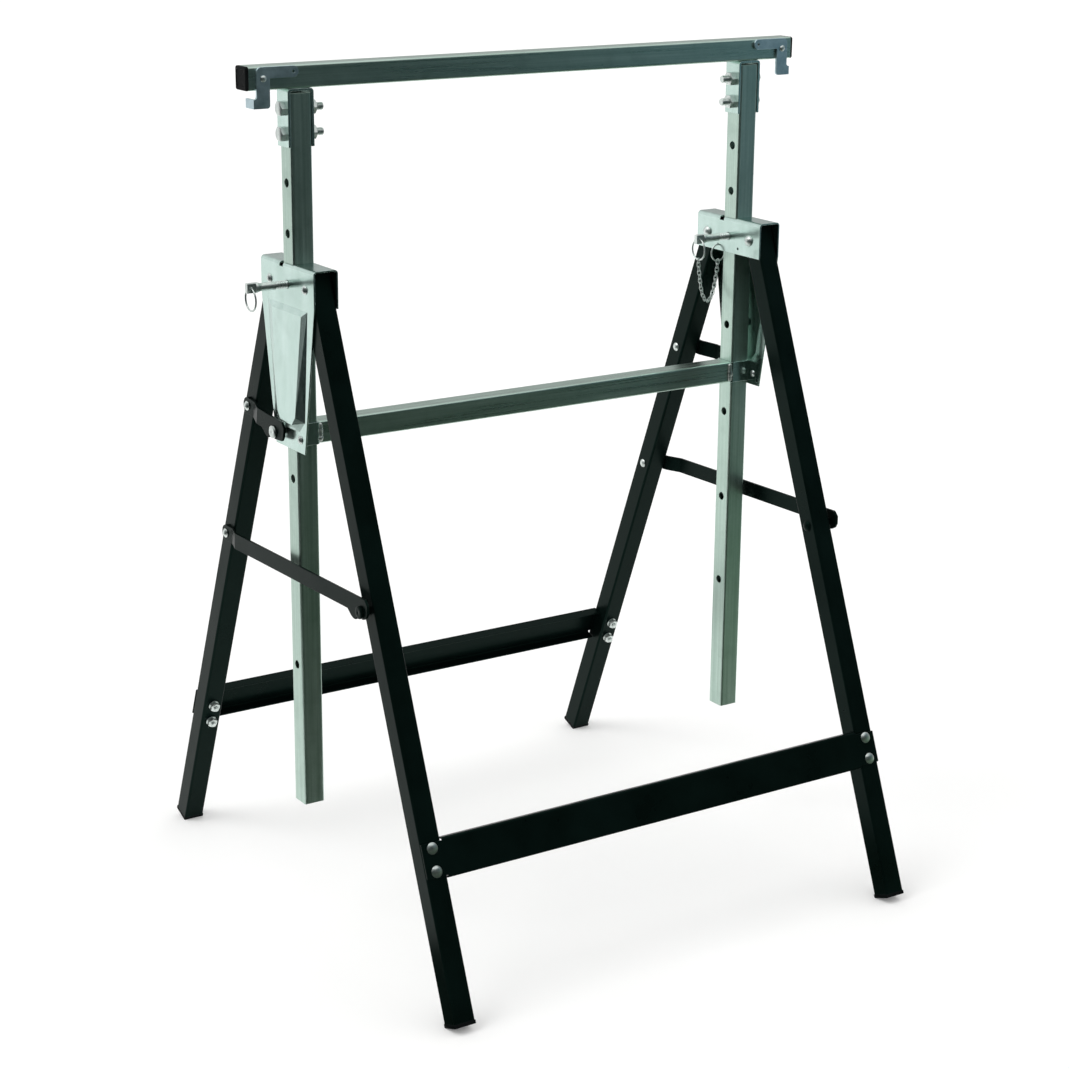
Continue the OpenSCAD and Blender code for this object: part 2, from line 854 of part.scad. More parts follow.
// A ring's wire lies this far inside the end of a chain link
chain_seat = (ring_wire + side_clear) / 2;
chain_from = [half_spacing + ring_hole_x, 0];
chain_to = [anchor_x, anchor_y];
chain_from_z = pivot_height - ring_drop - ring_r + chain_seat;
chain_to_z = pivot_height - anchor_ring_drop - anchor_r + chain_seat;
chain_span = norm(chain_to - chain_from);
chain_turn = atan2(chain_to.y - chain_from.y, chain_to.x - chain_from.x);
chain_len = chain_links * chain_pitch;

function sinh(x) = (exp(x) - exp(-x)) / 2;
function cosh(x) = (exp(x) + exp(-x)) / 2;
function asinh(x) = ln(x + sqrt(x * x + 1));

// Parameter of the hanging curve for the chain's span and length, by halving an interval
function hang(low, high, n) =
    let (mid = (low + high) / 2)
    n == 0 ? mid
    : 2 * mid * sinh(chain_span / (2 * mid)) > chain_len ? hang(mid, high, n - 1)
    : hang(low, mid, n - 1);

chain_a = hang(chain_span / 40, chain_span * 4, 40);

// Point of the hanging chain at a length along it, in its own upright plane
function chain_point(s) =
    let (x = chain_a * asinh((s - chain_len / 2) / chain_a))
    let (sag = chain_a * (cosh(x / chain_a) - cosh(chain_span / (2 * chain_a))))
    [x + chain_span / 2, sag + (chain_to_z - chain_from_z) * (x / chain_span + 1 / 2)];

module chain_link() {
    bend_r = (chain_slot + chain_wire) / 2;
    straight = chain_pitch + chain_wire + side_clear - 2 * bend_r;
    for (end = [-1, 1])
        translate([end * straight / 2, 0, 0]) rotate([0, 0, end * 90 - 180])
            rotate_extrude(angle = 180, $fn = 24) translate([bend_r, 0]) circle(d = chain_wire, $fn = 16);
    for (y = [-1, 1])
        translate([0, y * bend_r, 0]) rotate([0, 90, 0])
            cylinder(d = chain_wire, h = straight, center = true, $fn = 16);
}

module safety_chain() {
    color(STEEL)
        translate([chain_from.x, chain_from.y, chain_from_z]) rotate([0, 0, chain_turn])
            for (k = [0:chain_links - 1]) {
                a = chain_point(k * chain_pitch);
                b = chain_point((k + 1) * chain_pitch);
                mid = (a + b) / 2;
                translate([mid.x, 0, mid.y]) rotate([0, -atan2(b.y - a.y, b.x - a.x), 0])
                    rotate([(k + 1) % 2 * 90, 0, 0]) chain_link();
            }
}

// Legs

module leg(side, end) {
    color(BLACK_PAINT)
        leg_frame(side, end)
            difference() {
                square_tube(leg_size, leg_wall, -leg_reach + foot_t, leg_head);
                x_rod(pivot_d + 2 * run_clear, -leg_size, leg_size);
                translate([0, 0, -rail_reach])
                    rail_bolt_places() y_rod(rail_bolt_d + 2 * fit_clear, -leg_size, leg_size);
                if (end == FRONT)
                    translate([0, 0, -long_reach]) x_rod(peg_d + 2 * fit_clear, -leg_size, leg_size);
                else
                    for (reach = [long_reach, short_reach])
                        translate([0, 0, -reach]) x_rod(link_rivet_d + 2 * fit_clear, -leg_size, leg_size);
            }
}

module front_left_leg() {
    leg(LEFT, FRONT);
}

module front_right_leg() {
    leg(RIGHT, FRONT);
}

module rear_left_leg() {
    leg(LEFT, REAR);
}

module rear_right_leg() {
    leg(RIGHT, REAR);
}

// Tread with round lower edges, and a spigot that fits the leg
module foot_plug(side, end) {
    inside = leg_size - 2 * (leg_wall + plug_clear);
    color(BLACK_PLASTIC)
        leg_frame(side, end) translate([0, 0, -leg_reach]) {
            translate([-foot_half, 0, 0]) rotate([90, 0, 90]) linear_extrude(2 * foot_half) {
                translate([-foot_half, foot_edge_r]) square([2 * foot_half, foot_t - foot_edge_r]);
                translate([-foot_half + foot_edge_r, 0]) square([2 * (foot_half - foot_edge_r), foot_t]);
                for (y = [-1, 1])
                    translate([y * (foot_half - foot_edge_r), foot_edge_r]) circle(r = foot_edge_r);
            }
            translate([0, 0, foot_t]) linear_extrude(foot_depth) round_square(inside, leg_wall);
        }
}

module front_left_foot() {
    foot_plug(LEFT, FRONT);
}

module front_right_foot() {
    foot_plug(RIGHT, FRONT);
}

module rear_left_foot() {
    foot_plug(LEFT, REAR);
}

module rear_right_foot() {
    foot_plug(RIGHT, REAR);
}

// Rails: channels whose web lies on the legs' outer faces and whose lips point inward between the legs

rail_web_out = leg_half + rail_t;
rail_half_len = half_spacing + leg_half;
rail_lip_half_len = half_spacing - leg_half - 2 * head_clear;

module rail_bolt_places() {
    for (z = [-1, 1])
        translate([0, 0, z * rail_bolt_pitch / 2]) children();
}

module rail(end) {
    bend_r = 2 * rail_t;
    color(BLACK_PAINT)
        facing(end) translate([0, pivot_half, pivot_height]) rotate([leg_angle, 0, 0])
            translate([0, 0, -rail_reach])
                difference() {
                    union() {
                        translate([-rail_half_len, leg_half, bend_r - rail_h / 2])
                            cube([2 * rail_half_len, rail_t, rail_h - 2 * bend_r]);
                        translate([-rail_lip_half_len, 0, 0]) rotate([90, 0, 90])
                            linear_extrude(2 * rail_lip_half_len) rail_section(bend_r);
                    }
                    for (side = [LEFT, RIGHT])
                        translate([side * half_spacing, 0, 0])
                            rail_bolt_places() y_rod(rail_bolt_d + 2 * fit_clear, 0, leg_size);
                }
}

// Channel section: web at the outside, lips toward the middle
module rail_section(bend_r) {
    rotate(-90)
        difference() {
            arch(rail_h / 2, rail_web_out, rail_lip, bend_r);
            arch(rail_h / 2 - rail_t, leg_half, rail_lip, bend_r - rail_t);
        }
}

module front_rail() {
    rail(FRONT);
}

module rear_rail() {
    rail(REAR);
}

rail_nut_h = rail_bolt_d * nut_share;
rail_washer_h = 1.2;

module rail_bolts(end) {
    color(STEEL)
        for (side = [LEFT, RIGHT])
            leg_frame(side, end) translate([0, 0, -rail_reach]) rail_bolt_places() {
                y_rod(rail_bolt_d, -leg_half - rail_washer_h - rail_nut_h - rail_bolt_tail, rail_web_out);
                translate([0, rail_web_out, 0]) rotate([-90, 0, 0]) dome(2 * rail_bolt_d);
            }
}

// A washer and a hex nut in one
module rail_nuts(end) {
    color(STEEL)
        for (side = [LEFT, RIGHT])
            leg_frame(side, end) translate([0, 0, -rail_reach]) rail_bolt_places()
                difference() {
                    translate([0, -leg_half, 0]) rotate([90, 0, 0]) {
                        cylinder(d = 2 * rail_bolt_d, h = rail_washer_h);
                        hex(rail_bolt_d, rail_washer_h + rail_nut_h);
                    }
                    y_rod(rail_bolt_d + 2 * fit_clear, -leg_size, 0);
                }
}

module front_rail_bolts() {
    rail_bolts(FRONT);
}

module rear_rail_bolts() {
    rail_bolts(REAR);
}

module front_rail_nuts() {
    rail_nuts(FRONT);
}

module rear_rail_nuts() {
    rail_nuts(REAR);
}

// Hook links

module leg_pegs() {
    color(BLACK_PAINT)
        for (side = [LEFT, RIGHT])
            leg_frame(side, FRONT) translate([0, 0, -long_reach]) hook_peg(-leg_half);
}

module link_rivets() {
    color(STEEL)
        for (side = [LEFT, RIGHT])
            leg_frame(side, REAR)
                for (reach = [long_reach, short_reach])
                    translate([0, 0, -reach]) {
                        x_rod(link_rivet_d, -leg_half, rivet_head_in);
                        x_dome(link_rivet_head_d, rivet_head_in);
                        x_dome_back(link_rivet_d * rivet_tail_share, -leg_half);
                    }
}

// Outline of a link's strap: the rivet is at the origin and the peg at [span, 0]
module link_outline(span, tip) {
    prong = link_w * prong_share;
    tilt = atan(hook_lift / span);
    rise = link_w / 2 / cos(tilt);
    neck = span - hook_neck * prong;
    crown_top = (span + tip + hook_tip[0].x * prong) * tan(tilt) + rise;
    polygon(concat(
        [[0, -rise], [0, rise]],
        [for (p = hook_tip) [span + tip, crown_top] + prong * p],
        [for (p = hook_nose) [span + tip, 0] + prong * p],
        [for (p = hook_underside) [span, 0] + prong * p],
        [[neck, neck * tan(tilt) - rise]]
    ));
}

// Round seat for the peg, and the mouth that leads down from it
module hook_slot(lean) {
    half_w = peg_d / 2 + hook_clear;
    mouth = hook_mouth * link_w * prong_share;
    through = link_step + link_t + 2 * over;
    x_rod(2 * (half_w + hook_seat), -over, through - over);
    rotate([lean, 0, 0]) translate([-over, -half_w, -mouth]) cube([through, 2 * half_w, mouth]);
}

// A link from its rivet to its peg: flat at the rivet, then a step outward, then flat to the hook
module hook_link(side, root, peg, tip, lean) {
    span = norm(peg - root);
    fall = atan2(root.y - peg.y, root.x - peg.x);
    step_start = link_w / 2 + link_eye + 2 * link_t;
    step_end = step_start + link_step_len;
    color(BLACK_PAINT)
        at_side(side) translate([link_in, root.x, root.y]) rotate([fall, 0, 0])
            difference() {
                union() {
                    x_rod(link_w + 2 * link_eye, 0, link_t);
                    intersection() {
                        rotate([90, 0, 90]) linear_extrude(link_step + link_t)
                            mirror([1, 0]) link_outline(span, tip);
                        translate([0, 0, -2 * link_w]) linear_extrude(4 * link_w)
                            polygon([
                                [0, link_w], [0, -step_start],
                                [link_step, -step_end], [link_step, -span - tip - over],
                                [link_step + link_t, -span - tip - over], [link_step + link_t, -step_end],
                                [link_t, -step_start], [link_t, link_w],
                            ]);
                    }
                }
                x_rod(link_rivet_d + 2 * run_clear, -over, link_t + over);
                translate([0, -span, 0]) hook_slot(lean);
            }
}

module left_long_link() {
    hook_link(LEFT, long_root, long_peg, long_tip, long_lean);
}

module right_long_link() {
    hook_link(RIGHT, long_root, long_peg, long_tip, long_lean);
}

module left_short_link() {
    hook_link(LEFT, short_root, short_peg, short_tip, short_lean);
}

module right_short_link() {
    hook_link(RIGHT, short_root, short_peg, short_tip, short_lean);
}

top_bar();
left_end_cap();
right_end_cap();
left_saddle();
right_saddle();
left_upright();
right_upright();
saddle_bolts();
saddle_nuts();
stop_rivets();
left_end_stop();
right_end_stop();
left_head();
right_head();
cross_beam();
left_guide_collar();
right_guide_collar();
collar_rivets();
leg_pivot_rivets();
cheek_pegs();
left_lock_pin();
right_lock_pin();
left_pin_ring();
right_pin_ring();
chain_anchor_ring();
safety_chain();
front_left_leg();
front_right_leg();
rear_left_leg();
rear_right_leg();
front_left_foot();
front_right_foot();
rear_left_foot();
rear_right_foot();
front_rail();
rear_rail();
front_rail_bolts();
rear_rail_bolts();
front_rail_nuts();
rear_rail_nuts();
leg_pegs();
link_rivets();
left_long_link();
right_long_link();
left_short_link();
right_short_link();
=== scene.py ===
"""Dressed model of a folding builders trestle with a telescopic zinc top and black legs."""
import math

import bmesh
import bpy
from mathutils import Matrix, Vector, noise


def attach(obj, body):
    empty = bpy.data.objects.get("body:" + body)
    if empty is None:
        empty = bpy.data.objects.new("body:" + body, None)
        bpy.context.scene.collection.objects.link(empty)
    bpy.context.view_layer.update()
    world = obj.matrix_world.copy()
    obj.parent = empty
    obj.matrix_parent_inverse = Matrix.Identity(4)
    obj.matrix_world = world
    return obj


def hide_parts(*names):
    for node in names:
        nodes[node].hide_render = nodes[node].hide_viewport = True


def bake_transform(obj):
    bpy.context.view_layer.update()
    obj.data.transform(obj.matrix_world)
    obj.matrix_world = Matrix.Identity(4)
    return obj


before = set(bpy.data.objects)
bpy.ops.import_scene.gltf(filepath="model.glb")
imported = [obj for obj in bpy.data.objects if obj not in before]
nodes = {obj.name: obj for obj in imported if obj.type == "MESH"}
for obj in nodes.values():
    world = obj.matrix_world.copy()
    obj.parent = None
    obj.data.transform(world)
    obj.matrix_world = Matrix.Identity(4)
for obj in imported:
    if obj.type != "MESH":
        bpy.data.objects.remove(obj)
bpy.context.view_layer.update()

# Sizes shared with the solids, in millimetres
MM = 0.001
UPRIGHT_X = 274.0
PIVOT_Y, PIVOT_Z = 37.5, 685.0
LEG_ANGLE = math.radians(21.5)
TUBE_HALF = 11.5
CHEEK_IN, CHEEK_OUT = 12.0, 13.5
BAR_HALF_LEN, BAR_MID, BAR_BOTTOM = 332.5, 888.5, 877.0
SADDLE_OUT = 14.1
RAIL_REACH, RAIL_BOLT_PITCH, RAIL_WEB_OUT = 568.5, 23.0, 13.0
LONG_REACH, SHORT_REACH = 319.0, 154.0
PEG_HEAD_IN, RIVET_HEAD_IN = 21.3, 14.8
COLLAR_Y, COLLAR_DROP, COLLAR_FOOT_IN = 22.0, 154.5, 10.5
BEAM_DROP = 152.5
RING_HOLE_X, RING_DROP, RING_R, RING_WIRE = -53.75, 11.6, 11.3, 1.8
ANCHOR_Y, ANCHOR_DROP, ANCHOR_R, ANCHOR_SLACK = 18.0, 11.6, 9.3, 0.3
STOP_INSET, STOP_HEAD_Y, STOP_TAIL_Y = 17.0, 14.8, 10.0
CAP_FLANGE = 3.0
CHAIN_LINKS, CHAIN_PITCH, CHAIN_WIRE, CHAIN_SLOT, SIDE_CLEAR = 24, 4.6, 1.1, 2.7, 0.4

# Rivets and bolts, in millimetres: radius of each shank, and diameter and height of each domed head
PIVOT_R, PIVOT_HEAD, PIVOT_TAIL = 3.25, (9.5, 2.66), (12.0, 4.3)
COLLAR_R, COLLAR_HEAD, COLLAR_TAIL = 2.5, (9.0, 2.5), (7.5, 2.1)
LINK_R, LINK_HEAD, LINK_TAIL = 3.25, (10.0, 2.8), (9.75, 2.7)
STOP_R, STOP_HEAD, STOP_TAIL = 2.0, (6.5, 1.8), (6.0, 1.65)
PEG_R, PEG_TAIL = 4.0, (12.0, 3.3)
RAIL_BOLT_R, RAIL_HEAD = 3.0, (12.0, 3.36)

# Peg head from its seat outward, as depth and radius, with broken edges and a small centre mark
PEG_HEAD = ((0.0, 0.0), (0.0, 6.1), (0.4, 6.5), (1.7, 6.5), (2.15, 6.25), (2.4, 5.7), (2.4, 1.2), (2.2, 0.8),
            (2.2, 0.0))

# Bolts: thread, width across flats, heights, and how far the threads run past the face under the nut
M6, M6_FLATS, M6_PITCH = 6.0, 10.0, 1.0
M8, M8_FLATS, M8_PITCH = 8.0, 13.3, 1.25
HEX_POINT_UP = math.pi / 6
THREAD_FROM = 5.0
SADDLE_BOLT_DROPS, SADDLE_HEAD_H, SADDLE_NUT_H, SADDLE_THREAD_TO = (19.5, 44.0), 5.2, 6.4, 14.9
WASHER_T, WASHER_R, WASHER_BORE_R = 1.2, 6.0, 3.1
RAIL_NUT_TO, RAIL_THREAD_TO = 6.0, 9.0


# Materials

class Shader:
    """A Principled material that is built from textures in the object's own coordinates."""

    def __init__(self, name):
        self.mat = bpy.data.materials.new(name)
        self.mat.use_nodes = True
        self.tree = self.mat.node_tree
        self.bsdf = self.tree.nodes["Principled BSDF"]
        self.coords = self.tree.nodes.new("ShaderNodeTexCoord").outputs["Object"]

    def node(self, kind, **settings):
        made = self.tree.nodes.new(kind)
        for key, value in settings.items():
            setattr(made, key, value)
        return made

    def link(self, source, target):
        self.tree.links.new(source, target)

    def mapped(self, scale):
        mapping = self.node("ShaderNodeMapping")
        mapping.inputs["Scale"].default_value = scale
        self.link(self.coords, mapping.inputs["Vector"])
        return mapping.outputs["Vector"]

    def noise(self, scale, detail=4.0, rough=0.55, twist=0.0):
        tex = self.node("ShaderNodeTexNoise")
        tex.inputs["Scale"].default_value = 1.0
        tex.inputs["Detail"].default_value = detail
        tex.inputs["Roughness"].default_value = rough
        tex.inputs["Distortion"].default_value = twist
        self.link(self.mapped(scale), tex.inputs["Vector"])
        return tex.outputs["Fac"]

    def cells(self, scale):
        tex = self.node("ShaderNodeTexVoronoi")
        tex.inputs["Scale"].default_value = 1.0
        self.link(self.mapped(scale), tex.inputs["Vector"])
        grey = self.node("ShaderNodeRGBToBW")
        self.link(tex.outputs["Color"], grey.inputs["Color"])
        return grey.outputs["Val"]

    def ramp(self, fac, stops):
        made = self.node("ShaderNodeValToRGB")
        band = made.color_ramp
        while len(band.elements) < len(stops):
            band.elements.new(0.5)
        for element, (place, colour) in zip(band.elements, stops):
            element.position = place
            element.color = (*colour, 1.0)
        self.link(fac, made.inputs["Fac"])
        return made.outputs["Color"]

    def remap(self, value, low, high, to_low, to_high):
        made = self.node("ShaderNodeMapRange")
        made.inputs["From Min"].default_value = low
        made.inputs["From Max"].default_value = high
        made.inputs["To Min"].default_value = to_low
        made.inputs["To Max"].default_value = to_high
        self.link(value, made.inputs["Value"])
        return made.outputs["Result"]

    def blend(self, fac, a, b, how="MIX"):
        made = self.node("ShaderNodeMix", data_type="RGBA", blend_type=how)
        if isinstance(fac, float):
            made.inputs[0].default_value = fac
        else:
            self.link(fac, made.inputs[0])
        self.link(a, made.inputs[6])
        if isinstance(b, tuple):
            made.inputs[7].default_value = (*b, 1.0)
        else:
            self.link(b, made.inputs[7])
        return made.outputs[2]

    def edges(self, radius, low=0.02, high=0.2):
        """1 along outside and inside edges, 0 on flats."""
        soft = self.node("ShaderNodeBevel", samples=6)
        soft.inputs["Radius"].default_value = radius
        plain = self.node("ShaderNodeNewGeometry")
        dot = self.node("ShaderNodeVectorMath", operation="DOT_PRODUCT")
        self.link(soft.outputs["Normal"], dot.inputs[0])
        self.link(plain.outputs["Normal"], dot.inputs[1])
        return self.remap(dot.outputs["Value"], 1.0 - low, 1.0 - high, 0.0, 1.0)

    def bump(self, *layers):
        """Stacked bumps, each a height, a strength and a distance in metres, over rounded edges."""
        soft = self.node("ShaderNodeBevel", samples=6)
        soft.inputs["Radius"].default_value = 0.0006
        normal = soft.outputs["Normal"]
        for height, strength, distance in layers:
            made = self.node("ShaderNodeBump")
            made.inputs["Strength"].default_value = strength
            made.inputs["Distance"].default_value = distance
            self.link(height, made.inputs["Height"])
            self.link(normal, made.inputs["Normal"])
            normal = made.outputs["Normal"]
        self.link(normal, self.bsdf.inputs["Normal"])


def zinc(name, streak, dark, light, rough_low, rough_high):
    """Zinc plating: rolling streaks along the tube, faint crystals, dull stains and brighter edges."""
    s = Shader(name)
    streaks = s.noise(streak, 5.0, 0.6)
    stains = s.noise((26, 26, 26), 5.0, 0.6, 0.4)
    crystals = s.cells((420, 420, 420))
    middle = tuple((a + b) / 2 for a, b in zip(dark, light))
    colour = s.ramp(streaks, [(0.3, dark), (0.5, middle), (0.72, light)])
    speck = s.ramp(crystals, [(0.0, (0.93, 0.94, 0.93)), (1.0, (1.0, 1.0, 1.0))])
    colour = s.blend(0.8, colour, speck, "MULTIPLY")
    dull = s.remap(stains, 0.5, 0.72, 0.0, 0.35)
    colour = s.blend(dull, colour, tuple(0.8 * c for c in dark))
    rubbed = tuple(min(1.0, 1.12 * c) for c in light)
    colour = s.blend(s.remap(s.edges(0.0008), 0.0, 1.0, 0.0, 0.45), colour, rubbed)
    s.link(colour, s.bsdf.inputs["Base Color"])
    s.bsdf.inputs["Metallic"].default_value = 1.0
    s.link(s.remap(streaks, 0.3, 0.7, rough_low, rough_high), s.bsdf.inputs["Roughness"])
    grain = s.noise((900, 900, 900), 3.0)
    s.bump((streaks, 0.12, 0.0002), (grain, 0.06, 0.0001))
    return s.mat


def paint(name):
    """Black stoved paint: slight orange peel, faint cloudiness, dust and rubbed edges."""
    s = Shader(name)
    cloud = s.noise((18, 18, 18), 4.0, 0.6)
    peel = s.noise((420, 420, 420), 2.0, 0.5)
    dust = s.noise((700, 700, 700), 3.0, 0.7)
    colour = s.ramp(cloud, [(0.3, (0.001, 0.0028, 0.0024)), (0.7, (0.0019, 0.005, 0.0044))])
    colour = s.blend(s.remap(dust, 0.66, 0.8, 0.0, 0.18), colour, (0.04, 0.048, 0.045))
    rubbed = s.remap(s.edges(0.0007, 0.03, 0.25), 0.0, 1.0, 0.0, 0.3)
    colour = s.blend(rubbed, colour, (0.03, 0.038, 0.036))
    s.link(colour, s.bsdf.inputs["Base Color"])
    s.link(s.remap(cloud, 0.3, 0.7, 0.26, 0.38), s.bsdf.inputs["Roughness"])
    s.bsdf.inputs["Specular IOR Level"].default_value = 0.08
    s.bsdf.inputs["Specular Tint"].default_value = (0.3, 1.0, 0.75, 1.0)
    s.bump((peel, 0.1, 0.0002), (dust, 0.04, 0.0001))
    return s.mat


def plastic(name):
    """Moulded black plastic with a fine eroded grain."""
    s = Shader(name)
    grain = s.noise((1300, 1300, 1300), 3.0, 0.6)
    cloud = s.noise((60, 60, 60), 3.0)
    colour = s.ramp(cloud, [(0.3, (0.0025, 0.0036, 0.0038)), (0.7, (0.0045, 0.006, 0.0063))])
    colour = s.blend(s.remap(s.edges(0.0006), 0.0, 1.0, 0.0, 0.35), colour, (0.03, 0.034, 0.035))
    s.link(colour, s.bsdf.inputs["Base Color"])
    s.link(s.remap(grain, 0.3, 0.7, 0.45, 0.62), s.bsdf.inputs["Roughness"])
    s.bsdf.inputs["Specular IOR Level"].default_value = 0.06
    s.bump((grain, 0.2, 0.0001))
    return s.mat


ZINC_DARK, ZINC_LIGHT = (0.40, 0.54, 0.47), (0.60, 0.74, 0.67)
zinc_x = zinc("zinc_along_x", (5, 340, 340), ZINC_DARK, ZINC_LIGHT, 0.24, 0.36)
zinc_z = zinc("zinc_along_z", (340, 340, 5), ZINC_DARK, ZINC_LIGHT, 0.3, 0.44)
zinc_sheet = zinc("zinc_sheet", (60, 60, 14), (0.46, 0.61, 0.56), (0.62, 0.77, 0.73), 0.16, 0.26)
zinc_stop = zinc("zinc_stop", (90, 90, 90), (0.5, 0.64, 0.69), (0.72, 0.87, 0.93), 0.36, 0.48)
bright = zinc("bright_zinc", (300, 300, 300), (0.6, 0.68, 0.65), (0.84, 0.88, 0.86), 0.3, 0.44)
weld_metal = zinc("weld_metal", (260, 260, 260), (0.5, 0.55, 0.52), (0.82, 0.85, 0.82), 0.3, 0.5)
black_paint = paint("black_paint")
black_plastic = plastic("black_plastic")

WEARS = {
    zinc_x: ["top_bar", "cross_beam"],
    zinc_z: ["left_upright", "right_upright"],
    zinc_sheet: ["left_saddle", "right_saddle", "left_head", "right_head",
                 "left_guide_collar", "right_guide_collar"],
    zinc_stop: ["left_end_stop", "right_end_stop"],
    bright: ["left_lock_pin", "right_lock_pin", "left_pin_ring", "right_pin_ring", "chain_anchor_ring"],
    black_paint: ["front_left_leg", "front_right_leg", "rear_left_leg", "rear_right_leg",
                  "front_rail", "rear_rail",
                  "left_long_link", "right_long_link", "left_short_link", "right_short_link"],
    black_plastic: ["front_left_foot", "front_right_foot", "rear_left_foot", "rear_right_foot"],
}
for material, names in WEARS.items():
    for name in names:
        nodes[name].data.materials.clear()
        nodes[name].data.materials.append(material)


# Mesh helpers, all in millimetres until the piece is made

def piece(name, parts, material, body, slot, *replaced, sharp=35.0):
    """One object from several (points, faces) parts; it rides on a body and may stand for CAD nodes."""
    points, faces = [], []
    for part_points, part_faces in parts:
        start = len(points)
        points += [Vector(p) * MM for p in part_points]
        faces += [[start + i for i in f] for f in part_faces]
    mesh = bpy.data.meshes.new(name)
    mesh.from_pydata(points, [], faces)
    made = bmesh.new()
    made.from_mesh(mesh)
    bmesh.ops.remove_doubles(made, verts=made.verts, dist=1e-7)
    bmesh.ops.recalc_face_normals(made, faces=made.faces)
    made.to_mesh(mesh)
    made.free()
    mesh.shade_smooth()
    mesh.set_sharp_from_angle(angle=math.radians(sharp))
    mesh.materials.append(material)
    obj = bpy.data.objects.new(name, mesh)
    bpy.context.scene.collection.objects.link(obj)
    if body:
        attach(obj, body)
    if replaced:
        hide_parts(*replaced)
    return obj


def rings(loops, caps=True, closed=False):
    """Skin over loops of equal length."""
    points = [p for loop in loops for p in loop]
    n = len(loops[0])
    faces = []
    last = len(loops) if closed else len(loops) - 1
    for i in range(last):
        j = (i + 1) % len(loops)
        for k in range(n):
            m = (k + 1) % n
            faces.append([i * n + k, i * n + m, j * n + m, j * n + k])
    if caps and not closed:
        faces.append(list(range(n)))
        faces.append([len(points) - n + k for k in range(n)])
    return points, faces


def turned(profile, n=40):
    """Solid turned about X from (x, radius) pairs."""
    loops = []
    for x, r in profile:
        r = max(r, 0.02)
        turns = [2 * math.pi * k / n for k in range(n)]
        loops.append([(x, r * math.cos(a), r * math.sin(a)) for a in turns])
    return rings(loops)


def dome_profile(x, d, h, steps=9):
    """Domed rivet head from the face at x, with a thin rim and a small flat from the snap tool."""
    rim = 0.15 * h
    cap = h - rim
    r = (d * d / 4 + cap * cap) / (2 * cap)
    spread = math.asin(d / 2 / r)
    profile = [(x, 0.0), (x, d / 2 - 0.15), (x + 0.15, d / 2)]
    for i in range(steps):
        a = spread * (1 - i / steps)
        profile.append((x + h - r + r * math.cos(a), r * math.sin(a)))
    profile += [(x + h - 0.01, 0.06 * d), (x + h - 0.08, 0.04 * d), (x + h - 0.1, 0.0)]
    return profile


def flip(profile):
    return [(-x, r) for x, r in profile]


def hexagon(x0, x1, flats, turn=0.0, n=96):
    """Hexagon along X with the corners of its far face turned off at 30 degrees; unturned, a flat faces Y."""
    chamfer = 0.93 * flats / 2
    span, sign = abs(x1 - x0), math.copysign(1.0, x1 - x0)
    near, edge, face = [], [], []
    for k in range(n):
        a = 2 * math.pi * k / n
        r = flats / 2 / math.cos((a - turn + math.pi / 6) % (math.pi / 3) - math.pi / 6)
        c, s = math.cos(a), math.sin(a)
        drop = max(0.0, (r - chamfer) * math.tan(math.radians(30)))
        near.append((x0, r * c, r * s))
        edge.append((x0 + sign * (span - drop), r * c, r * s))
        face.append((x1, chamfer * c, chamfer * s))
    middle = [(x1, 0.02 * p[1], 0.02 * p[2]) for p in face]
    return rings([near, edge, face, middle])


def thread(x0, x1, d, pitch, n=28):
    """Threaded rod along X, pointed at x1."""
    depth = 0.54 * pitch
    span, sign = abs(x1 - x0), math.copysign(1.0, x1 - x0)
    count = max(2, int(span / pitch * 6))
    loops = []
    for i in range(count + 1):
        t = span * i / count
        tip = min(1.0, (span - t) / (0.8 * pitch))
        loop = []
        for k in range(n):
            a = 2 * math.pi * k / n
            wave = abs(((t / pitch + k / n) % 1.0) * 2 - 1)
            r = d / 2 - depth + depth * min(wave, 0.15 + 0.85 * tip)
            loop.append((x0 + sign * t, r * math.cos(a), r * math.sin(a)))
        loops.append(loop)
    return rings(loops)


def tube(path, radius, n=12, closed=False):
    """Round wire along a path of points."""
    path = [Vector(p) for p in path]
    count = len(path)
    loops = []
    side = None
    for i, p in enumerate(path):
        a = path[(i - 1) % count] if closed or i else p
        b = path[(i + 1) % count] if closed or i < count - 1 else p
        along = (b - a).normalized()
        if side is None:
            side = along.orthogonal().normalized()
        side = (side - along * side.dot(along)).normalized()
        up = along.cross(side)
        turns = [2 * math.pi * k / n for k in range(n)]
        loops.append([tuple(p + radius * (math.cos(t) * side + math.sin(t) * up)) for t in turns])
    return rings(loops, closed=closed)


def placed(part, place):
    points, faces = part
    return [place(Vector(p)) for p in points], faces


def at_side(side, y=0.0, z=0.0):
    """Local X points away from the trestle's middle on that side."""
    return lambda p: Vector((side * (UPRIGHT_X + p.x), p.y + y, p.z + z))


def in_leg(side, end, reach, to_front=False):
    """Leg coordinates at a distance below the pivot; with to_front, local X becomes the leg's outward Y."""
    c, s = math.cos(LEG_ANGLE), math.sin(LEG_ANGLE)

    def place(p):
        x, y, z = (p.y, p.x, p.z) if to_front else (p.x, p.y, p.z)
        z = z - reach
        return Vector((side * (UPRIGHT_X + x), end * (PIVOT_Y + y * c - z * s), PIVOT_Z + y * s + z * c))

    return place


SIDES = (("left", -1), ("right", 1))

# Rivets and pegs of the heads

parts = []
for _, side in SIDES:
    for y in (-PIVOT_Y, PIVOT_Y):
        for profile in (dome_profile(CHEEK_OUT, *PIVOT_HEAD), flip(dome_profile(CHEEK_OUT, *PIVOT_TAIL)),
                        [(-CHEEK_OUT, PIVOT_R), (CHEEK_OUT, PIVOT_R)]):
            parts.append(placed(turned(profile), at_side(side, y, PIVOT_Z)))
piece("pivot_rivets", parts, bright, "head_frame", "bright_zinc", "leg_pivot_rivets")

